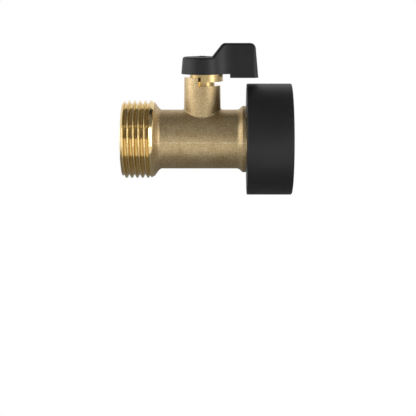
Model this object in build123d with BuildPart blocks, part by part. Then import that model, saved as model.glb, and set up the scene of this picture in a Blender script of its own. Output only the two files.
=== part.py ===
from build123d import *
from math import acos, asin, cos, radians, sin, tan
import os

# A quarter-turn water butt tap: a brass ball valve with a male thread at its inlet and a loose plastic
# nut at its outlet. The water flows along +X, the stem points along +Z, and the lever stands open.
# The origin is the centre of the inlet end face. All sizes are in millimetres.

# Pipe thread G 3/4, the same outside the inlet and inside the nut
thread_r = 13.22
thread_pitch = 1.814
thread_depth = 1.16
thread_half_angle = 27.5
thread_crest = thread_pitch / 6
minor_r = thread_r - thread_depth
flank = thread_depth * tan(radians(thread_half_angle))

# Inlet end of the body
first_crest_x = 0.55
inlet_groove_count = 5
inlet_chamfer = 0.8
runout_length = 1.1
runout_drop = 0.75
shoulder_length = 1.55

# Fits between pieces
turning_gap = 0.05
seat_gap = 0.1
loose_gap = 0.3

# Ball and seats
ball_r = 7.5
ball_wall = 2.5
ball_bore_r = ball_r - ball_wall
slot_width = 3.2
slot_depth = 1.8
seat_overhang = 0.5
seat_thickness = 3.6
seat_back = ball_r + seat_overhang
seat_front = seat_back - seat_thickness
seat_bore_r = ball_bore_r + seat_gap
backing_section = 1.5

# Pipe of the body
stem_x = 27.0
chamber_gap = 0.4
body_wall = 2.13
waterway_step = 0.3
retainer_step = 0.55
chamber_r = ball_r + chamber_gap
body_r = chamber_r + body_wall
waterway_r = ball_bore_r + waterway_step
retainer_bore_r = chamber_r + retainer_step
bore_chamfer = 0.6

# Ring that closes the chamber
retainer_length = 5.0
retainer_overrun = 0.3
retainer_seal_section = 1.2
retainer_seal_inset = 1.6
key_slot_width = 2.0
key_slot_depth = 1.6

# Collar and tail that carry the nut
collar_x = 39.5
collar_flare = 1.1
collar_step = 1.27
collar_length = 1.1
tail_wall = 3.3
tail_length = 5.4
tail_r = waterway_r + tail_wall
ring_groove_depth = 0.85
ring_thickness = 1.0
ring_height = 2.55
ring_opening = 3.0

# Stem boss, with the step that stops the lug
boss_height = 11.12
boss_wall = 1.9
boss_draft = 0.8
boss_fillet = 0.8
boss_bore_r = 4.15
boss_top_r = boss_bore_r + boss_wall
step_depth = 2.8
step_wall_x = -0.45
step_wall_slant = 24.0
boss_top_z = body_r + boss_height
step_floor_z = boss_top_z - step_depth

# Stem
stem_r = boss_bore_r - turning_gap
stem_foot_r = 3.2
stem_foot_length = 2.2
pocket_r = 4.9
pocket_height = 2.4
clip_thickness = 0.8
clip_depth = 0.6
clip_r = 4.5
clip_opening = 2.6
stem_washer_thickness = 0.8
stem_seal_width = 1.8
stem_seal_depth = 1.35
stem_seal_pitch = 3.0
stem_seal_lift = 1.7
stem_flat = 2.2
stem_head_r = 3.0
stem_head_height = 2.7
pocket_z = chamber_r + pocket_height
stem_foot_z = pocket_z + stem_foot_length
stem_seal_z = stem_foot_z + stem_seal_lift

# Stop plate
plate_lift = 1.45
plate_thickness = 2.45
lug_reach = 0.95
lug_side = -0.2
plate_bottom_z = step_floor_z + plate_lift
lug_r = boss_top_r + lug_reach

# Lever
hub_height = 5.7
hub_bottom_r = 7.1
lever_draft = 5.0
blade_reach = 18.95
blade_rise = 4.65
blade_half_width = 2.6
blade_end_radius = 1.8
blade_skirt = 1.3
blade_skirt_x = 9.4
skirt_corner = 0.2
slope_foot_x = 3.3
slope_angle = 52.0
slope_foot_corner = 0.4
blade_corner = 1.9
blade_root = 8.0
lever_edge = 0.8
hub_bottom_z = plate_bottom_z + plate_thickness + turning_gap
hub_top_z = hub_bottom_z + hub_height
stem_top_z = hub_bottom_z + stem_head_height
blade_top_z = hub_top_z + blade_rise

# Lever screw
screw_head_r = 2.2
screw_head_height = 1.7
screw_proud = 0.4
screw_r = 1.45
screw_length = 9.0
recess_width = 0.8
recess_length = 2.4
recess_depth = 1.0

# Swivel nut
nut_r = 18.9
nut_width = 15.25
nut_wall = 2.6
nut_edge = 0.4
nut_recess_r = 12.5
nut_groove_count = 3
nut_mouth_chamfer = 0.9
nut_washer_thickness = 0.8
nut_washer_height = 2.6
hose_washer_thickness = 2.5
hose_washer_width = 5.85

# Places that follow from the sizes above
inlet_thread_end = first_crest_x + inlet_groove_count * thread_pitch + thread_crest / 2
shoulder_x = inlet_thread_end + runout_length
body_x = shoulder_x + shoulder_length
collar_r = body_r + collar_step
collar_end_x = collar_x + collar_flare + collar_length
tail_end_x = collar_end_x + tail_length
seat_stop = seat_back + backing_section + seat_gap
outlet_stop_x = stem_x + seat_stop
retainer_x = stem_x - seat_stop - retainer_length
retainer_bore_end = stem_x - seat_stop + retainer_overrun
nut_x = collar_end_x + loose_gap
nut_back_x = nut_x + nut_wall
nut_washer_x = nut_back_x + turning_gap
ring_r = tail_r - ring_groove_depth + ring_height
ring_groove_x = nut_washer_x + nut_washer_thickness + turning_gap
hose_washer_x = tail_end_x + turning_gap
nut_thread_x = hose_washer_x + hose_washer_thickness + turning_gap
nut_end_x = nut_x + nut_width
nut_crest_x = nut_thread_x + flank + thread_crest / 2

along_pipe = Plane.XZ
stem_axis = Axis((stem_x, 0, 0), (0, 0, 1))
stem_plane = Plane((stem_x, 0, 0), x_dir=(1, 0, 0), z_dir=(0, -1, 0))

os.makedirs("parts", exist_ok=True)


def level(z):
    """Horizontal plane at height z, centred on the stem."""
    return Plane((stem_x, 0, z))


def thread_points(first_x, crest_r, root_r, grooves):
    """Outline of a ring thread along X, from its first crest to its last."""
    points = []
    for i in range(grooves + 1):
        x = first_x + i * thread_pitch
        points.append((x - thread_crest / 2, crest_r))
        points.append((x + thread_crest / 2, crest_r))
        if i < grooves:
            points.append((x + thread_crest / 2 + flank, root_r))
            points.append((x + thread_pitch - thread_crest / 2 - flank, root_r))
    return points


# The body: turned outline, stem boss, then the chamber, the waterway and the bores of the stem
with BuildPart() as valve_body:
    with BuildSketch(along_pipe):
        with BuildLine():
            Polyline(
                (0, 0),
                (0, thread_r - inlet_chamfer),
                *thread_points(first_crest_x, thread_r, minor_r, inlet_groove_count),
                (shoulder_x, thread_r - runout_drop),
                (body_x, body_r),
                (collar_x, body_r),
                (collar_x + collar_flare, collar_r),
                (collar_end_x, collar_r),
                (collar_end_x, tail_r),
                (ring_groove_x, tail_r),
                (ring_groove_x, tail_r - ring_groove_depth),
                (ring_groove_x + ring_thickness + turning_gap, tail_r - ring_groove_depth),
                (ring_groove_x + ring_thickness + turning_gap, tail_r),
                (tail_end_x, tail_r),
                (tail_end_x, 0),
                close=True,
            )
        make_face()
    revolve(axis=Axis.X)
    with BuildSketch(stem_plane):
        with BuildLine():
            Polyline(
                (0, 0),
                (boss_top_r + boss_top_z * tan(radians(boss_draft)), 0),
                (boss_top_r, boss_top_z),
                (0, boss_top_z),
                close=True,
            )
        make_face()
    revolve(axis=stem_axis)
    boss_foot = (
        valve_body.edges()
        .filter_by(lambda edge: edge.geom_type not in (GeomType.CIRCLE, GeomType.LINE))
        .filter_by(lambda edge: abs(edge.center().X - stem_x) < boss_top_r)
        .filter_by(lambda edge: edge.bounding_box().min.Z > 0)
    )
    fillet(boss_foot, boss_fillet)

    # Ball chamber and waterway
    with BuildSketch(along_pipe):
        with BuildLine():
            Polyline(
                (0, 0),
                (0, retainer_bore_r + bore_chamfer),
                (bore_chamfer, retainer_bore_r),
                (retainer_bore_end, retainer_bore_r),
                (retainer_bore_end, chamber_r),
                (outlet_stop_x, chamber_r),
                (outlet_stop_x, waterway_r),
                (tail_end_x - bore_chamfer, waterway_r),
                (tail_end_x, waterway_r + bore_chamfer),
                (tail_end_x, 0),
                close=True,
            )
        make_face()
    revolve(axis=Axis.X, mode=Mode.SUBTRACT)

    # Bores of the stem, from the chamber up
    with BuildSketch(stem_plane):
        with BuildLine():
            Polyline(
                (0, 0),
                (pocket_r, 0),
                (pocket_r, pocket_z),
                (stem_foot_r + turning_gap, pocket_z),
                (stem_foot_r + turning_gap, stem_foot_z),
                (boss_bore_r, stem_foot_z),
                (boss_bore_r, boss_top_z),
                (0, boss_top_z),
                close=True,
            )
        make_face()
    revolve(axis=stem_axis, mode=Mode.SUBTRACT)

    # Step that lets the lug of the stop plate turn a quarter round
    step_reach = lug_r + loose_gap
    step_slant = (step_reach - boss_bore_r) * tan(radians(step_wall_slant))
    with BuildSketch(level(step_floor_z)):
        with BuildLine():
            Polyline(
                (step_wall_x, -boss_bore_r),
                (step_wall_x - step_slant, -step_reach),
                (step_reach, -step_reach),
                (step_reach, step_reach),
                (step_wall_x - step_slant, step_reach),
                (step_wall_x, boss_bore_r),
                close=True,
            )
        make_face()
    extrude(amount=boss_top_z - step_floor_z, mode=Mode.SUBTRACT)

# Threaded ring that closes the chamber, with two slots for a key and a groove for its seal
retainer_r = retainer_bore_r - turning_gap
seal_x = retainer_x + retainer_length - retainer_seal_inset
with BuildPart() as seat_retainer:
    with BuildSketch(along_pipe):
        with BuildLine():
            Polyline(
                (retainer_x, waterway_r),
                (retainer_x, retainer_r),
                (seal_x - retainer_seal_section / 2, retainer_r),
                (seal_x - retainer_seal_section / 2, retainer_r - retainer_seal_section),
                (seal_x + retainer_seal_section / 2, retainer_r - retainer_seal_section),
                (seal_x + retainer_seal_section / 2, retainer_r),
                (retainer_x + retainer_length, retainer_r),
                (retainer_x + retainer_length, waterway_r),
                close=True,
            )
        make_face()
    revolve(axis=Axis.X)
    with BuildSketch(Plane((retainer_x, 0, 0), x_dir=(0, 1, 0), z_dir=(1, 0, 0))):
        Rectangle(2 * retainer_bore_r, key_slot_width)
    extrude(amount=key_slot_depth, mode=Mode.SUBTRACT)

with BuildPart() as retainer_seal:
    with BuildSketch(along_pipe):
        with Locations((seal_x, retainer_r - retainer_seal_section / 2)):
            RectangleRounded(
                retainer_seal_section - turning_gap,
                retainer_seal_section - turning_gap,
                retainer_seal_section / 4,
            )
    revolve(axis=Axis.X)


def ball_seat(side):
    """Plastic ring with a hollow face that fits the ball; side is -1 at the inlet and 1 at the outlet."""
    hollow_r = ball_r + seat_gap
    bore_angle = asin(seat_bore_r / hollow_r)
    rim_angle = acos(seat_front / hollow_r)

    def hollow_point(angle):
        return (stem_x + side * hollow_r * cos(angle), hollow_r * sin(angle))

    with BuildPart() as seat:
        with BuildSketch(along_pipe):
            with BuildLine():
                ThreePointArc(
                    hollow_point(bore_angle),
                    hollow_point((bore_angle + rim_angle) / 2),
                    hollow_point(rim_angle),
                )
                Polyline(
                    hollow_point(rim_angle),
                    (stem_x + side * seat_front, chamber_r - turning_gap),
                    (stem_x + side * seat_back, chamber_r - turning_gap),
                    (stem_x + side * seat_back, seat_bore_r),
                    hollow_point(bore_angle),
                )
            make_face()
        revolve(axis=Axis.X)
    return seat.part


def backing_ring(side):
    """Rubber ring that presses a seat on the ball."""
    with BuildPart() as ring:
        with BuildSketch(along_pipe):
            with Locations(
                (
                    stem_x + side * (seat_back + seat_stop) / 2,
                    chamber_r - turning_gap - backing_section / 2,
                )
            ):
                Circle(backing_section / 2)
        revolve(axis=Axis.X)
    return ring.part


# Ball with its through bore along the pipe and its slot across it
with BuildPart() as ball:
    with Locations((stem_x, 0, 0)):
        Sphere(ball_r)
    with BuildSketch(Plane((stem_x, 0, 0), x_dir=(0, 1, 0), z_dir=(1, 0, 0))):
        Circle(ball_bore_r)
    extrude(amount=2 * ball_r, both=True, mode=Mode.SUBTRACT)
    with BuildSketch(level(ball_r - slot_depth)):
        Rectangle(slot_width, 3 * ball_r)
    extrude(amount=2 * slot_depth, mode=Mode.SUBTRACT)

# Stem: round with two seal grooves, flats above for the plate and the lever, and a tongue below
clip_z = pocket_z - stem_washer_thickness - clip_thickness - 2 * turning_gap
tongue_z = ball_r - slot_depth + turning_gap
with BuildPart() as stem:
    with BuildSketch(stem_plane):
        with BuildLine():
            Polyline(
                (0, ball_r),
                (stem_foot_r, ball_r),
                (stem_foot_r, clip_z),
                (stem_foot_r - clip_depth, clip_z),
                (stem_foot_r - clip_depth, clip_z + clip_thickness + turning_gap),
                (stem_foot_r, clip_z + clip_thickness + turning_gap),
                (stem_foot_r, stem_foot_z + turning_gap),
                (stem_r, stem_foot_z + turning_gap),
                (stem_r, plate_bottom_z),
                (stem_head_r, plate_bottom_z),
                (stem_head_r, stem_top_z),
                (0, stem_top_z),
                close=True,
            )
        make_face()
    revolve(axis=stem_axis)
    for i in range(2):
        with BuildSketch(stem_plane):
            with Locations((stem_r - stem_seal_depth / 2, stem_seal_z + i * stem_seal_pitch)):
                Rectangle(stem_seal_depth, stem_seal_width)
        revolve(axis=stem_axis, mode=Mode.SUBTRACT)
    with BuildSketch(level(plate_bottom_z)):
        for side in (-1, 1):
            with Locations((0, side * (stem_flat + stem_head_r) / 2)):
                Rectangle(2 * stem_head_r, stem_head_r - stem_flat)
    extrude(amount=stem_top_z - plate_bottom_z, mode=Mode.SUBTRACT)
    with BuildSketch(level(ball_r)):
        Rectangle(slot_width - 2 * turning_gap, 2 * stem_foot_r)
        Circle(stem_foot_r, mode=Mode.INTERSECT)
    extrude(amount=tongue_z - ball_r)
    with Locations((stem_x, 0, stem_top_z)):
        Hole(screw_r + turning_gap, depth=screw_length)


def stem_seal(i):
    """Rubber ring squeezed into groove i of the stem."""
    with BuildPart() as seal:
        with BuildSketch(stem_plane):
            with Locations((stem_r - stem_seal_depth / 2, stem_seal_z + i * stem_seal_pitch)):
                RectangleRounded(
                    stem_seal_depth - turning_gap,
                    stem_seal_width - 2 * turning_gap,
                    stem_seal_depth / 3,
                )
        revolve(axis=stem_axis)
    return seal.part


# Open spring clip in the lower groove of the stem
with BuildPart() as stem_clip:
    with BuildSketch(level(clip_z + turning_gap / 2)):
        Circle(clip_r)
        Circle(stem_foot_r - clip_depth + turning_gap, mode=Mode.SUBTRACT)
        with Locations((0, clip_r)):
            Rectangle(clip_opening, 2 * clip_r, mode=Mode.SUBTRACT)
    extrude(amount=clip_thickness)

with BuildPart() as stem_washer:
    with BuildSketch(level(pocket_z - turning_gap - stem_washer_thickness)):
        Circle(clip_r)
        Circle(stem_foot_r + turning_gap, mode=Mode.SUBTRACT)
    extrude(amount=stem_washer_thickness)

# Stop plate: a round collar on the stem's flats with a quarter-round lug
with BuildPart() as stop_plate:
    with BuildSketch(level(plate_bottom_z + turning_gap / 2)):
        Circle(lug_r)
        with Locations((lug_side - lug_r, 0)):
            Rectangle(2 * lug_r, 4 * lug_r, mode=Mode.SUBTRACT)
        with Locations((0, lug_r - lug_side)):
            Rectangle(4 * lug_r, 2 * lug_r, mode=Mode.SUBTRACT)
        Circle(stem_r)
        with BuildSketch(mode=Mode.SUBTRACT):
            Circle(stem_head_r + turning_gap)
            Rectangle(4 * stem_head_r, 2 * (stem_flat + turning_gap), mode=Mode.INTERSECT)
    extrude(amount=plate_thickness)

# Lever: drafted hub that runs into the blade, with flats for the stem below and a seat for the screw on top
head_seat_z = hub_top_z + screw_proud - screw_head_height
blade_bottom_z = hub_bottom_z - blade_skirt
blade_height = blade_top_z - blade_bottom_z
slope_run = (blade_top_z - hub_top_z) / tan(radians(slope_angle))
hub_foot_r = hub_bottom_r + blade_skirt * tan(radians(lever_draft))
with BuildPart() as lever:
    with BuildSketch(level(blade_bottom_z)):
        Circle(hub_foot_r)
        with Locations((blade_reach / 2, 0)):
            Rectangle(blade_reach, 2 * blade_half_width)
        fillet(vertices().group_by(Axis.X)[0], blade_root)
        fillet(vertices().group_by(Axis.X)[-1], blade_end_radius)
    extrude(amount=blade_height, taper=lever_draft)
    with BuildSketch(stem_plane):
        with BuildLine():
            FilletPolyline(
                (-2 * hub_bottom_r, hub_bottom_z),
                (blade_skirt_x, hub_bottom_z),
                (blade_skirt_x, blade_bottom_z),
                (blade_reach, blade_bottom_z),
                (blade_reach - blade_height * tan(radians(lever_draft)), blade_top_z),
                (slope_foot_x + slope_run, blade_top_z),
                (slope_foot_x, hub_top_z),
                (-2 * hub_bottom_r, hub_top_z),
                radius=[0, skirt_corner, skirt_corner, 0, blade_corner, blade_corner, slope_foot_corner, 0],
                close=True,
            )
        make_face()
    extrude(amount=2 * hub_bottom_r, both=True, mode=Mode.INTERSECT)
    lever_rim = lever.edges().filter_by(lambda edge: edge.bounding_box().min.Z > hub_top_z - lever_edge)
    fillet(lever_rim.filter_by(Axis.Y, reverse=True), lever_edge)
    with Locations((stem_x, 0, hub_top_z)):
        Hole(screw_head_r + turning_gap, depth=hub_top_z - head_seat_z)
    with BuildSketch(level(hub_bottom_z)):
        Circle(stem_head_r + turning_gap)
        Rectangle(4 * stem_head_r, 2 * (stem_flat + turning_gap), mode=Mode.INTERSECT)
    extrude(amount=stem_top_z + turning_gap - hub_bottom_z, mode=Mode.SUBTRACT)
    with Locations((stem_x, 0, head_seat_z)):
        Hole(screw_r + turning_gap, depth=head_seat_z - hub_bottom_z)

# Screw with a low round head and a cross recess, through the lever into the stem
screw_tip_z = stem_top_z + turning_gap - screw_length
screw_dome_r = (screw_head_r**2 + screw_proud**2) / (2 * screw_proud)
with BuildPart() as lever_screw:
    with BuildSketch(stem_plane):
        with BuildLine():
            Polyline(
                (0, hub_top_z + screw_proud),
                (0, screw_tip_z),
                (screw_r, screw_tip_z),
                (screw_r, head_seat_z),
                (screw_head_r, head_seat_z),
                (screw_head_r, hub_top_z),
            )
            RadiusArc((screw_head_r, hub_top_z), (0, hub_top_z + screw_proud), -screw_dome_r)
        make_face()
    revolve(axis=stem_axis)
    with BuildSketch(level(hub_top_z + screw_proud)):
        Rectangle(recess_length, recess_width)
        Rectangle(recess_width, recess_length)
    extrude(amount=-recess_depth, mode=Mode.SUBTRACT)

# Swivel nut: plain ring outside; inside a hole for the tail, a washer recess and a ring thread
with BuildPart() as swivel_nut:
    with BuildSketch(along_pipe):
        with BuildLine():
            Polyline(
                (nut_x, tail_r + loose_gap),
                (nut_x, nut_r - nut_edge),
                (nut_x + nut_edge, nut_r),
                (nut_end_x - nut_edge, nut_r),
                (nut_end_x, nut_r - nut_edge),
                (nut_end_x, minor_r + nut_mouth_chamfer),
                *reversed(thread_points(nut_crest_x, minor_r, thread_r, nut_groove_count)),
                (nut_crest_x - thread_crest / 2 - flank, nut_recess_r),
                (nut_back_x, nut_recess_r),
                (nut_back_x, tail_r + loose_gap),
                close=True,
            )
        make_face()
    revolve(axis=Axis.X)

# Split ring in the groove of the tail
with BuildPart() as nut_ring:
    with BuildSketch(Plane((ring_groove_x + turning_gap / 2, 0, 0), x_dir=(0, 1, 0), z_dir=(1, 0, 0))):
        Circle(ring_r)
        Circle(tail_r - ring_groove_depth + turning_gap, mode=Mode.SUBTRACT)
        with Locations((0, -ring_r)):
            Rectangle(ring_opening, ring_r, mode=Mode.SUBTRACT)
    extrude(amount=ring_thickness)


def flat_ring(x, thickness, outer_r, inner_r):
    """Flat washer around the pipe axis whose first face is at x."""
    with BuildPart() as ring:
        with BuildSketch(Plane((x, 0, 0), x_dir=(0, 1, 0), z_dir=(1, 0, 0))):
            Circle(outer_r)
            Circle(inner_r, mode=Mode.SUBTRACT)
        extrude(amount=thickness)
    return ring.part


nut_washer = flat_ring(
    nut_washer_x, nut_washer_thickness, tail_r + nut_washer_height, tail_r + turning_gap
)
hose_washer_r = nut_recess_r - turning_gap
hose_washer = flat_ring(
    hose_washer_x, hose_washer_thickness, hose_washer_r, hose_washer_r - hose_washer_width
)

pieces = {
    "valve_body": valve_body.part,
    "seat_retainer": seat_retainer.part,
    "retainer_seal": retainer_seal.part,
    "inlet_seat": ball_seat(-1),
    "outlet_seat": ball_seat(1),
    "inlet_backing_ring": backing_ring(-1),
    "outlet_backing_ring": backing_ring(1),
    "ball": ball.part,
    "stem": stem.part,
    "stem_seal_lower": stem_seal(0),
    "stem_seal_upper": stem_seal(1),
    "stem_clip": stem_clip.part,
    "stem_washer": stem_washer.part,
    "stop_plate": stop_plate.part,
    "lever": lever.part,
    "lever_screw": lever_screw.part,
    "swivel_nut": swivel_nut.part,
    "nut_ring": nut_ring.part,
    "nut_washer": nut_washer,
    "hose_washer": hose_washer,
}
for name, piece in pieces.items():
    piece.label = name
    export_step(piece, f"parts/{name}.step")
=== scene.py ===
import math

import bpy
import numpy as np
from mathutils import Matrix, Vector


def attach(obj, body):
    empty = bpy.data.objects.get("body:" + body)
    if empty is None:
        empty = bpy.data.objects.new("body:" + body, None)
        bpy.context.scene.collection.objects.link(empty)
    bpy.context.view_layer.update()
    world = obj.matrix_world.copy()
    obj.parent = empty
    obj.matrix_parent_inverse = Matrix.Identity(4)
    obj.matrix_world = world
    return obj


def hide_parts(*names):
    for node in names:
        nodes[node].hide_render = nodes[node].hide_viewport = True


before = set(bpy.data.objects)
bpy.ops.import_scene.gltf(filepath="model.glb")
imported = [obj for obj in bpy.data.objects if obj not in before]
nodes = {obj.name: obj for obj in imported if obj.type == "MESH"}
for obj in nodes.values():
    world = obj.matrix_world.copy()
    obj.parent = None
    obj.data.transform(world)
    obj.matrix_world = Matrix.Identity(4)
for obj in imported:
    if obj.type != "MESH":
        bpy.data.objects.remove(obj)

# Water butt tap: a quarter-turn ball tap of cast brass with a black lever and a black swivel nut.
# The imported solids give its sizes. The body and the nut get true right-hand threads here, and
# every piece gets the finish of its real material.

MM = 0.001
for start_object in ("Cube", "Light", "Camera"):
    if start_object in bpy.data.objects:
        bpy.data.objects.remove(bpy.data.objects[start_object])
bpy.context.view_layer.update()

# Sizes in millimetres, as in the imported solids
PITCH = 1.814
THREAD_R = 13.22
ROOT_R = 12.06
ROUND_R = 0.249
INLET_CHAMFER = 0.8
INLET_BORE_R = 9.05
FIRST_CREST_X = 0.47
FLANK_ANGLE = 27.5
FACE_LAND = 0.25
FACE_EDGE = 0.35
RING_STEP = 0.065
RUNOUT_START_X = 8.6
RUNOUT_END_X = 9.9
LAND_START_X = 9.55
LAND_EDGE_X = 10.871
LAND_EDGE_R = 12.47
CONE_END_X = 12.421
CONE_BLEND_X = 13.2
PIPE_R = 10.03
FLARE_BLEND_X = 38.7
FLARE_START_X = 39.5
FLARE_END_X = 40.6
COLLAR_R = 11.3
COLLAR_END_X = 41.7
STEM_X = 27.0
BOSS_FACE_R = 6.5
BOSS_WALL_R = 5.8
BOSS_BORE_R = 5.2
BOSS_BORE_Z = 9.0
BORE_R = 9.2
BORE_TOP_Z = 10.5
NEAR = 0.006
STEP_FLOOR_Z = 18.35
NUT_X = 42.0
NUT_BACK_X = 44.6
NUT_THREAD_X = 49.7
NUT_END_X = 57.25
NUT_R = 18.9
NUT_RECESS_R = 12.5
NUT_BORE_R = 8.9
NUT_EDGE = 0.4
NUT_RING_STEP = 0.08
NUT_THREAD_LEAD = 0.2
NUT_RUNOUT = 1.0
NUT_MOUTH_CLEARANCE = 0.1
EDGE_STEPS = 4
AROUND = 288


# Mesh helpers
def turned_rings(rings):
    """Grid of points in mm from (x, r) rings; x and r are numbers or one value for each angle."""
    angle = 2 * math.pi * np.arange(AROUND) / AROUND
    points = []
    for x, r in rings:
        x = np.broadcast_to(np.asarray(x, float), AROUND)
        r = np.broadcast_to(np.asarray(r, float), AROUND)
        points.append(np.stack([x, -r * np.sin(angle), r * np.cos(angle)], axis=1))
    return np.concatenate(points)


def ring_faces(first, second):
    """Quads between two rings of AROUND points each, given by their first indices."""
    here = np.arange(AROUND)
    after = (here + 1) % AROUND
    return np.stack([first + here, second + here, second + after, first + after], axis=1).tolist()


def right_hand_thread(x, crest_x, crest_r, root_r):
    """Radius at x for every angle on a right-hand thread with the 55 degree pipe form."""
    turn = np.arange(AROUND) / AROUND
    phase = (x - crest_x) / PITCH - turn
    from_crest = np.abs(phase - np.round(phase)) * PITCH
    from_root = PITCH / 2 - from_crest
    half_angle = math.radians(FLANK_ANGLE)
    arc_end = ROUND_R * math.cos(half_angle)
    arc_drop = ROUND_R * (1 - math.sin(half_angle))
    crest_drop = ROUND_R - np.sqrt(np.maximum(ROUND_R ** 2 - from_crest ** 2, 0))
    root_lift = ROUND_R - np.sqrt(np.maximum(ROUND_R ** 2 - from_root ** 2, 0))
    flank_drop = arc_drop + (from_crest - arc_end) / math.tan(half_angle)
    full_depth = 2 * arc_drop + (PITCH / 2 - 2 * arc_end) / math.tan(half_angle)
    drop = np.where(from_crest < arc_end, crest_drop,
                    np.where(from_root < arc_end, full_depth - root_lift, flank_drop))
    return crest_r + (root_r - crest_r) * drop / full_depth


def zip_loops(points, loop_a, loop_b):
    """Triangles between two rings round the X axis that have different numbers of points."""
    def sorted_by_angle(loop):
        angles = np.arctan2(-points[loop, 1], points[loop, 2]) % (2 * math.pi)
        order = np.argsort(angles)
        return np.asarray(loop)[order], angles[order]

    a, angle_a = sorted_by_angle(loop_a)
    b, angle_b = sorted_by_angle(loop_b)
    faces = []
    i = j = 0
    while i < len(a) or j < len(b):
        next_a = angle_a[i + 1] if i + 1 < len(a) else angle_a[0] + 2 * math.pi
        next_b = angle_b[j + 1] if j + 1 < len(b) else angle_b[0] + 2 * math.pi
        if j >= len(b) or (i < len(a) and next_a <= next_b):
            faces.append([int(a[i % len(a)]), int(b[j % len(b)]), int(a[(i + 1) % len(a)])])
            i += 1
        else:
            faces.append([int(a[i % len(a)]), int(b[j % len(b)]), int(b[(j + 1) % len(b)])])
            j += 1
    return faces


def cad_mesh(node):
    """Welded points in mm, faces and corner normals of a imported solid."""
    mesh = nodes[node].data
    raw = np.zeros(len(mesh.vertices) * 3)
    mesh.vertices.foreach_get("co", raw)
    raw = raw.reshape(-1, 3) / MM
    _, first, where = np.unique(np.round(raw, 4), axis=0, return_index=True, return_inverse=True)
    points = raw[first]
    where = where.reshape(-1)
    normals = np.zeros(len(mesh.loops) * 3)
    mesh.corner_normals.foreach_get("vector", normals)
    normals = normals.reshape(-1, 3)
    faces = []
    face_normals = []
    for face in mesh.polygons:
        corners = [int(where[v]) for v in face.vertices]
        if len(set(corners)) == len(corners):
            faces.append(corners)
            face_normals.append(normals[list(face.loop_indices)])
    return points, faces, face_normals


def new_piece(name, points, faces, materials, face_material=None, crease=30):
    """Mesh object from points in mm, shaded smooth up to the crease angle in degrees."""
    mesh = bpy.data.meshes.new(name)
    mesh.from_pydata((np.asarray(points) * MM).tolist(), [], faces)
    for material in materials:
        mesh.materials.append(material)
    if face_material is not None:
        mesh.polygons.foreach_set("material_index", face_material)
    mesh.polygons.foreach_set("use_smooth", [True] * len(mesh.polygons))
    mesh.set_sharp_from_angle(angle=math.radians(crease))
    mesh.update()
    piece = bpy.data.objects.new(name, mesh)
    bpy.context.scene.collection.objects.link(piece)
    return piece


# Material helpers
def linear(code):
    """Linear colour from an sRGB hex value."""
    channels = [int(code[i:i + 2], 16) / 255 for i in (1, 3, 5)]
    return [c / 12.92 if c <= 0.04045 else ((c + 0.055) / 1.055) ** 2.4 for c in channels] + [1]


def add(tree, kind, settings=None, links=None):
    """Adds a node; settings name its properties or inputs, links its inputs and what feeds them."""
    node = tree.nodes.new(kind)
    for name, value in (settings or {}).items():
        if isinstance(name, str) and hasattr(node, name):
            setattr(node, name, value)
        else:
            node.inputs[name].default_value = value
    for name, source in (links or {}).items():
        tree.links.new(source, node.inputs[name])
    return node


def new_material(name):
    """Material with an empty tree, its output and a Principled shader."""
    material = bpy.data.materials.new(name)
    material.use_nodes = True
    tree = material.node_tree
    tree.nodes.clear()
    shader = add(tree, "ShaderNodeBsdfPrincipled")
    add(tree, "ShaderNodeOutputMaterial", links={"Surface": shader.outputs[0]})
    return material, tree, shader


def per(size_mm):
    """Texture scale that gives a pattern of this size in mm in object coordinates."""
    return 1 / (size_mm * MM)


def tint(tree, steps, source):
    """Colour ramp from (position, hex) steps."""
    ramp = add(tree, "ShaderNodeValToRGB", links={"Fac": source})
    elements = ramp.color_ramp.elements
    while len(elements) < len(steps):
        elements.new(0.5)
    for element, (position, code) in zip(elements, steps):
        element.position = position
        element.color = linear(code)
    return ramp.outputs["Color"]


# Sand-cast brass, shot-blasted: a dull warm sandy skin with a fine grain and faint clouds of tone;
# the mould joint is real, but its pale broken line is a painted highlight standing in for light caught
# by the joint ridge
def make_cast_brass():
    material, tree, shader = new_material("cast_brass_blasted")
    place = add(tree, "ShaderNodeTexCoord").outputs["Object"]
    grain = add(tree, "ShaderNodeTexNoise",
                {"Scale": per(0.32), "Detail": 2.0, "Roughness": 0.6}, {"Vector": place})
    clouds = add(tree, "ShaderNodeTexNoise",
                 {"Scale": per(6.0), "Detail": 3.0, "Roughness": 0.6}, {"Vector": place})
    speck = add(tree, "ShaderNodeMix", {"data_type": "FLOAT", 0: 0.25},
                {2: grain.outputs["Fac"], 3: clouds.outputs["Fac"]})
    colour = tint(tree, [(0.34, "#A38B60"), (0.5, "#C8AF83"), (0.66, "#E2CFA8")],
                  speck.outputs[0])
    # Painted highlight: near-white mixed into the colour in a thin band round z = 0, the mould joint,
    # broken up by the clouds
    height = add(tree, "ShaderNodeSeparateXYZ", links={0: place}).outputs["Z"]
    from_joint = add(tree, "ShaderNodeMath", {"operation": "ABSOLUTE"}, {0: height})
    painted_joint_highlight = add(tree, "ShaderNodeMapRange",
                {"From Min": 0.04 * MM, "From Max": 0.14 * MM, "To Min": 0.75, "To Max": 0.0},
                {"Value": from_joint.outputs[0]})
    broken_joint_highlight = add(tree, "ShaderNodeMath", {"operation": "MULTIPLY"},
                 {0: painted_joint_highlight.outputs[0], 1: clouds.outputs["Fac"]})
    # The sandy colour with the painted joint highlight mixed in
    skin = add(tree, "ShaderNodeMix", {"data_type": "RGBA", "B": linear("#FFF2D6")},
               {0: broken_joint_highlight.outputs[0], "A": colour})
    tree.links.new(skin.outputs["Result"], shader.inputs["Base Color"])
    rough = add(tree, "ShaderNodeMapRange", {"To Min": 0.40, "To Max": 0.56},
                {"Value": grain.outputs["Fac"]})
    tree.links.new(rough.outputs[0], shader.inputs["Roughness"])
    bump = add(tree, "ShaderNodeBump", {"Strength": 0.55, "Distance": 0.09 * MM},
               {"Height": grain.outputs["Fac"]})
    tree.links.new(bump.outputs[0], shader.inputs["Normal"])
    shader.inputs["Metallic"].default_value = 1.0
    return material


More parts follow.
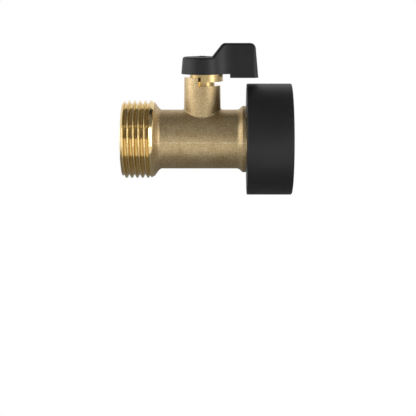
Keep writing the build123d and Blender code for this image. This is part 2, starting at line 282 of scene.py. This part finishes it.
# Turned brass: bright yellow metal with fine tool lines round the axis
def make_turned_brass():
    material, tree, shader = new_material("turned_brass")
    place = add(tree, "ShaderNodeTexCoord").outputs["Object"]
    along = add(tree, "ShaderNodeMapping",
                {"Scale": (per(0.12), per(9.0), per(9.0))}, {"Vector": place})
    lines = add(tree, "ShaderNodeTexNoise",
                {"Scale": 1.0, "Detail": 2.0, "Roughness": 0.6}, {"Vector": along.outputs[0]})
    colour = tint(tree, [(0.3, "#D8BC80"), (0.7, "#EBD6A4")], lines.outputs["Fac"])
    tree.links.new(colour, shader.inputs["Base Color"])
    rough = add(tree, "ShaderNodeMapRange", {"To Min": 0.10, "To Max": 0.17},
                {"Value": lines.outputs["Fac"]})
    tree.links.new(rough.outputs[0], shader.inputs["Roughness"])
    bump = add(tree, "ShaderNodeBump", {"Strength": 0.12, "Distance": 0.01 * MM},
               {"Height": lines.outputs["Fac"]})
    tree.links.new(bump.outputs[0], shader.inputs["Normal"])
    shader.inputs["Metallic"].default_value = 1.0
    return material


# Moulded black nylon: a soft satin black with a barely visible moulded texture
def make_black_nylon():
    material, tree, shader = new_material("black_nylon_moulded")
    place = add(tree, "ShaderNodeTexCoord").outputs["Object"]
    skin = add(tree, "ShaderNodeTexNoise",
               {"Scale": per(0.4), "Detail": 2.0, "Roughness": 0.6}, {"Vector": place})
    clouds = add(tree, "ShaderNodeTexNoise",
                 {"Scale": per(7.0), "Detail": 2.0}, {"Vector": place})
    colour = tint(tree, [(0.3, "#0B0B0B"), (0.7, "#121212")], clouds.outputs["Fac"])
    tree.links.new(colour, shader.inputs["Base Color"])
    rough = add(tree, "ShaderNodeMapRange", {"To Min": 0.46, "To Max": 0.58},
                {"Value": skin.outputs["Fac"]})
    tree.links.new(rough.outputs[0], shader.inputs["Roughness"])
    bump = add(tree, "ShaderNodeBump", {"Strength": 0.15, "Distance": 0.02 * MM},
               {"Height": skin.outputs["Fac"]})
    tree.links.new(bump.outputs[0], shader.inputs["Normal"])
    return material


# One finish for small pieces: (name, colours, metallic, roughness, pattern size in mm)
def make_small_finish(name, dark, light, metallic, roughness, size_mm):
    material, tree, shader = new_material(name)
    place = add(tree, "ShaderNodeTexCoord").outputs["Object"]
    skin = add(tree, "ShaderNodeTexNoise",
               {"Scale": per(size_mm), "Detail": 2.0, "Roughness": 0.6}, {"Vector": place})
    colour = tint(tree, [(0.3, dark), (0.7, light)], skin.outputs["Fac"])
    tree.links.new(colour, shader.inputs["Base Color"])
    rough = add(tree, "ShaderNodeMapRange",
                {"To Min": roughness - 0.05, "To Max": roughness + 0.05},
                {"Value": skin.outputs["Fac"]})
    tree.links.new(rough.outputs[0], shader.inputs["Roughness"])
    bump = add(tree, "ShaderNodeBump", {"Strength": 0.1, "Distance": 0.01 * MM},
               {"Height": skin.outputs["Fac"]})
    tree.links.new(bump.outputs[0], shader.inputs["Normal"])
    shader.inputs["Metallic"].default_value = metallic
    return material


cast_brass = make_cast_brass()
turned_brass = make_turned_brass()
black_nylon = make_black_nylon()
# Chrome-plated brass is near white and mirror smooth
chrome = make_small_finish("chrome_plate_polished", "#D5D8DA", "#E6E8EA", 1.0, 0.08, 3.0)
# PTFE seats are milky white and waxy
ptfe = make_small_finish("ptfe_turned", "#E3E2DD", "#F0EFEA", 0.0, 0.42, 1.5)
# Nitrile rubber is a dull charcoal
rubber = make_small_finish("nitrile_rubber_moulded", "#17181A", "#202123", 0.0, 0.62, 0.6)
# Spring steel wire and clips are bright grey
spring_steel = make_small_finish("spring_steel_stamped", "#9FA1A3", "#BBBDBE", 1.0, 0.28, 0.8)
# The black oxide coat of the screw is a dull dark grey
black_steel = make_small_finish("black_oxide_coat", "#131415", "#1C1D1E", 0.0, 0.60, 0.5)
# Stamped brass of the plate and the stem is duller than the turned faces
stamped_brass = make_small_finish("stamped_brass", "#B79E6C", "#CDB583", 1.0, 0.36, 0.7)

finish_of = {
    "cast_brass": cast_brass,
    "turned_brass": turned_brass,
    "chromed_brass": chrome,
    "black_plastic": black_nylon,
    "seat_plastic": ptfe,
    "black_rubber": rubber,
    "spring_steel": spring_steel,
    "black_steel": black_steel,
}
for node in nodes.values():
    for material_slot in node.material_slots:
        material_slot.material = finish_of[material_slot.material.name]
for node in ("stop_plate", "stem"):
    nodes[node].material_slots[0].material = stamped_brass


def land_radius(x):
    """Radius of the plain land behind the thread, which falls towards the cone."""
    share = np.clip((x - LAND_START_X) / (LAND_EDGE_X - LAND_START_X), 0, 1)
    return THREAD_R + (LAND_EDGE_R - THREAD_R) * share


def soft_corner(start, corner, end):
    """Rings of a hollow curve that leaves the line to a corner and runs out on the next line."""
    rings = []
    for share in np.linspace(0, 1, 15)[1:-1]:
        x = (1 - share) ** 2 * start[0] + 2 * share * (1 - share) * corner[0] + share ** 2 * end[0]
        r = (1 - share) ** 2 * start[1] + 2 * share * (1 - share) * corner[1] + share ** 2 * end[1]
        rings.append((x, r))
    return rings


# Body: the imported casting, with a true thread, and with the end face, cone and collar flare made
# anew; the new faces meet the casting's own edges
def build_body():
    points, faces, normals = cad_mesh("valve_body")
    radius = np.hypot(points[:, 1], points[:, 2])
    def circle(x, r):
        """Points of the casting that lie on one circle round the pipe."""
        on_circle = (np.abs(points[:, 0] - x) < NEAR) & (np.abs(radius - r) < NEAR)
        return [int(i) for i in np.flatnonzero(on_circle)]

    bore_loop = circle(0.0, INLET_BORE_R)
    cone_loop = circle(CONE_END_X, PIPE_R)
    flare_loop = circle(FLARE_START_X, PIPE_R)
    collar_loop = circle(FLARE_END_X, COLLAR_R)
    kept = []
    for index, face in enumerate(faces):
        corner = points[face]
        front = corner[:, 0].max() < CONE_END_X + NEAR and radius[face].min() > INLET_BORE_R - NEAR
        flare = (corner[:, 0].min() > FLARE_START_X - NEAR and corner[:, 0].max() < FLARE_END_X + NEAR
                 and radius[face].min() > PIPE_R - NEAR)
        if not (front or flare):
            kept.append(index)
    points[cone_loop, 0] = CONE_BLEND_X
    points[flare_loop, 0] = FLARE_BLEND_X
    rings = [(0.0, INLET_BORE_R + FACE_LAND)]
    for x in np.arange(0, RUNOUT_END_X, RING_STEP):
        r = right_hand_thread(x, FIRST_CREST_X, THREAD_R, ROOT_R)
        fade = np.clip((x - RUNOUT_START_X) / (RUNOUT_END_X - RUNOUT_START_X), 0, 1)
        r = r + (THREAD_R - r) * fade ** 2
        r = np.minimum(r, THREAD_R - INLET_CHAMFER + x)
        r = np.minimum(r, land_radius(x))
        rings.append((x, r))
    rings[1:1] = [(0.0, rings[1][1] - FACE_EDGE)]
    for share in (0.0, 0.5, 1.0):
        x = RUNOUT_END_X + (LAND_EDGE_X - RUNOUT_END_X) * share
        rings.append((x, land_radius(x)))
    rings += soft_corner((LAND_EDGE_X, LAND_EDGE_R), (CONE_END_X, PIPE_R), (CONE_BLEND_X, PIPE_R))
    flare_rings = soft_corner((FLARE_END_X, COLLAR_R), (FLARE_START_X, PIPE_R), (FLARE_BLEND_X, PIPE_R))
    base = len(points)
    flare_base = base + len(rings) * AROUND
    all_points = np.concatenate([points, turned_rings(rings), turned_rings(flare_rings)])
    new_faces = []
    for i in range(len(rings) - 1):
        new_faces += ring_faces(base + i * AROUND, base + (i + 1) * AROUND)
    for i in range(len(flare_rings) - 1):
        new_faces += ring_faces(flare_base + (i + 1) * AROUND, flare_base + i * AROUND)

    def ring(first, number):
        """Point numbers of one new ring."""
        return list(range(first + number * AROUND, first + (number + 1) * AROUND))

    new_faces += zip_loops(all_points, bore_loop, ring(base, 0))
    new_faces += [face[::-1] for face in zip_loops(all_points, cone_loop, ring(base, len(rings) - 1))]
    new_faces += zip_loops(all_points, flare_loop, ring(flare_base, len(flare_rings) - 1))
    new_faces += [face[::-1] for face in zip_loops(all_points, collar_loop, ring(flare_base, 0))]
    kept_faces = [faces[i] for i in kept]
    new_faces = [face[::-1] for face in new_faces]
    used = sorted({v for face in kept_faces + new_faces for v in face})
    number = {v: i for i, v in enumerate(used)}
    final_faces = [[number[v] for v in face] for face in kept_faces + new_faces]
    final_points = all_points[used]
    zones = []
    for face in final_faces:
        corner = final_points[face]
        r = np.hypot(corner[:, 1], corner[:, 2])
        from_stem = np.hypot(corner[:, 0] - STEM_X, corner[:, 1])
        thread = corner[:, 0].max() < LAND_EDGE_X + NEAR
        tail = corner[:, 0].min() > COLLAR_END_X - NEAR
        inside = r.max() < BORE_R and corner[:, 2].max() < BORE_TOP_Z and not tail
        level_cut = corner[:, 2].max() - corner[:, 2].min() < NEAR
        boss_bore = corner[:, 2].min() > BOSS_BORE_Z and from_stem.max() < BOSS_BORE_R
        above_step = corner[:, 2].min() > STEP_FLOOR_Z - NEAR and from_stem.max() < BOSS_FACE_R
        boss_cut = boss_bore or (above_step and (level_cut or from_stem.min() < BOSS_WALL_R))
        zones.append(1 if thread or tail or inside or boss_cut else 0)
    body = new_piece("tap_body", final_points, final_faces, [cast_brass, turned_brass], zones)
    mesh = body.data
    split = np.zeros(len(mesh.loops) * 3)
    mesh.corner_normals.foreach_get("vector", split)
    split = split.reshape(-1, 3)
    at = 0
    for i in kept:
        count = len(faces[i])
        split[at:at + count] = normals[i]
        at += count
    mesh.normals_split_custom_set(split.tolist())
    return body


body = build_body()
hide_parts("valve_body")
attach(body, "housing")


# Nut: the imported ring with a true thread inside
def build_nut():
    outer = []
    for i in range(EDGE_STEPS + 1):
        turn_in = math.pi / 2 * i / EDGE_STEPS
        outer.append((NUT_X + NUT_EDGE - NUT_EDGE * math.cos(turn_in),
                      NUT_R - NUT_EDGE + NUT_EDGE * math.sin(turn_in)))
    for x in np.linspace(NUT_X + NUT_EDGE, NUT_END_X - NUT_EDGE, 6)[1:-1]:
        outer.append((x, NUT_R))
    for i in range(EDGE_STEPS + 1):
        turn_in = math.pi / 2 * i / EDGE_STEPS
        outer.append((NUT_END_X - NUT_EDGE + NUT_EDGE * math.sin(turn_in),
                      NUT_R - NUT_EDGE + NUT_EDGE * math.cos(turn_in)))
    rings = [(NUT_X, NUT_BORE_R)] + outer
    rings.append((NUT_END_X, THREAD_R + NUT_MOUTH_CLEARANCE))
    for x in np.arange(NUT_END_X, NUT_THREAD_X, -NUT_RING_STEP):
        r = right_hand_thread(x, NUT_THREAD_X + NUT_THREAD_LEAD, ROOT_R, THREAD_R)
        r = np.maximum(r, THREAD_R - (NUT_END_X - x))
        fade = np.clip((NUT_THREAD_X + NUT_RUNOUT - x) / NUT_RUNOUT, 0, 1)
        r = r + (NUT_RECESS_R - r) * fade
        rings.append((x, r))
    rings += [(NUT_THREAD_X, NUT_RECESS_R), (NUT_BACK_X, NUT_RECESS_R), (NUT_BACK_X, NUT_BORE_R)]
    ring_points = turned_rings(rings)
    faces = []
    for i in range(len(rings)):
        faces += ring_faces(i * AROUND, ((i + 1) % len(rings)) * AROUND)
    return new_piece("swivel_nut_threaded", ring_points, [f[::-1] for f in faces], [black_nylon])


nut = build_nut()
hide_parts("swivel_nut")
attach(nut, "nut")


# Studio: pale floor, white surroundings, grey flags that the camera does not see, soft lamps
def sheet_of(name, centre, across, up, width, height, material):
    """Flat staged rectangle, its centre and sides in mm."""
    centre, across, up = Vector(centre), Vector(across).normalized(), Vector(up).normalized()
    half_across, half_up = across * width / 2, up * height / 2
    corners = [centre - half_across - half_up, centre + half_across - half_up,
               centre + half_across + half_up, centre - half_across + half_up]
    mesh = bpy.data.meshes.new(name)
    mesh.from_pydata([corner * MM for corner in corners], [], [(0, 1, 2, 3)])
    mesh.materials.append(material)
    sheet = bpy.data.objects.new(name, mesh)
    bpy.context.scene.collection.objects.link(sheet)
    return sheet


floor_paint, tree, shader = new_material("floor_paint_matt")
shader.inputs["Base Color"].default_value = linear("#F4F4F4")
shader.inputs["Roughness"].default_value = 0.8
light_path = add(tree, "ShaderNodeLightPath")
seen = add(tree, "ShaderNodeMath", {"operation": "MAXIMUM"},
           {0: light_path.outputs["Is Camera Ray"], 1: light_path.outputs["Is Glossy Ray"]})
seen = add(tree, "ShaderNodeMath", {"operation": "MAXIMUM"},
           {0: seen.outputs[0], 1: light_path.outputs["Is Transmission Ray"]})
white = add(tree, "ShaderNodeEmission", {"Color": (1, 1, 1, 1), "Strength": 1.0})
mix = add(tree, "ShaderNodeMixShader",
          links={0: seen.outputs[0], 1: shader.outputs[0], 2: white.outputs[0]})
output = next(n for n in tree.nodes if n.bl_idname == "ShaderNodeOutputMaterial")
tree.links.new(mix.outputs[0], output.inputs["Surface"])
sheet_of("floor", (29, 0, -100), (1, 0, 0), (0, 1, 0), 12000, 12000, floor_paint)

# name, shade, centre, across, up, width, height
flags = [
    ("flag_over", "#8A8A8A", (36, -20, 420), (1, 0, 0), (0, 1, 0), 1300, 640),
    ("flag_front", "#8A8A8A", (36, -420, 262), (1, 0, 0), (0, 0, 1), 900, 400),
    ("flag_under", "#9C9C9C", (36, 120, -95), (1, 0, 0), (0, 1, 0), 700, 420),
    ("flag_right_back", "#1A1A1A", (357, 306, 60), (0.656, -0.755, 0), (0, 0, 1), 180, 90),
]
for name, shade, centre, across, up, width, height in flags:
    cloth, tree, shader = new_material(name + "_cloth")
    shader.inputs["Base Color"].default_value = linear(shade)
    shader.inputs["Roughness"].default_value = 0.9
    flag = sheet_of(name, centre, across, up, width, height, cloth)
    flag.visible_camera = False
    flag.visible_shadow = False

# name, place, size, power in watts
lamps = [
    ("lamp_left", (-420, -260, 160), (420, 420), 0.4),
    ("lamp_far_left", (-430, -40, 60), (150, 420), 0.4),
    ("lamp_right", (400, -230, 60), (70, 360), 0.6),
]
for name, place, size, power in lamps:
    data = bpy.data.lights.new(name, "AREA")
    data.shape = "RECTANGLE"
    data.size, data.size_y = size[0] * MM, size[1] * MM
    data.energy = power
    lamp = bpy.data.objects.new(name, data)
    bpy.context.scene.collection.objects.link(lamp)
    lamp.location = Vector(place) * MM
    toward = Vector((30, 0, 5)) * MM - lamp.location
    lamp.rotation_euler = toward.to_track_quat("-Z", "Y").to_euler()
    lamp.visible_camera = False

world = bpy.data.worlds.new("studio")
bpy.context.scene.world = world
world.use_nodes = True
tree = world.node_tree
tree.nodes.clear()
background = add(tree, "ShaderNodeBackground", {"Color": (1, 1, 1, 1), "Strength": 1.0})
add(tree, "ShaderNodeOutputWorld", links={"Surface": background.outputs[0]})

# Camera, from the sizes that the photograph shows
camera_data = bpy.data.cameras.new("camera")
camera_data.sensor_width = 36.0
camera_data.lens = 86.54
camera_data.shift_x = -21 / 416
camera_data.shift_y = -90 / 416
camera = bpy.data.objects.new("camera", camera_data)
bpy.context.scene.collection.objects.link(camera)
camera.location = Vector((36.04, -337.95, 44.5)) * MM
aim = Vector((36.04, 0.0, 7.2)) * MM
camera.rotation_euler = (aim - camera.location).to_track_quat("-Z", "Y").to_euler()
bpy.context.scene.camera = camera
bpy.context.scene.view_settings.view_transform = "Standard"
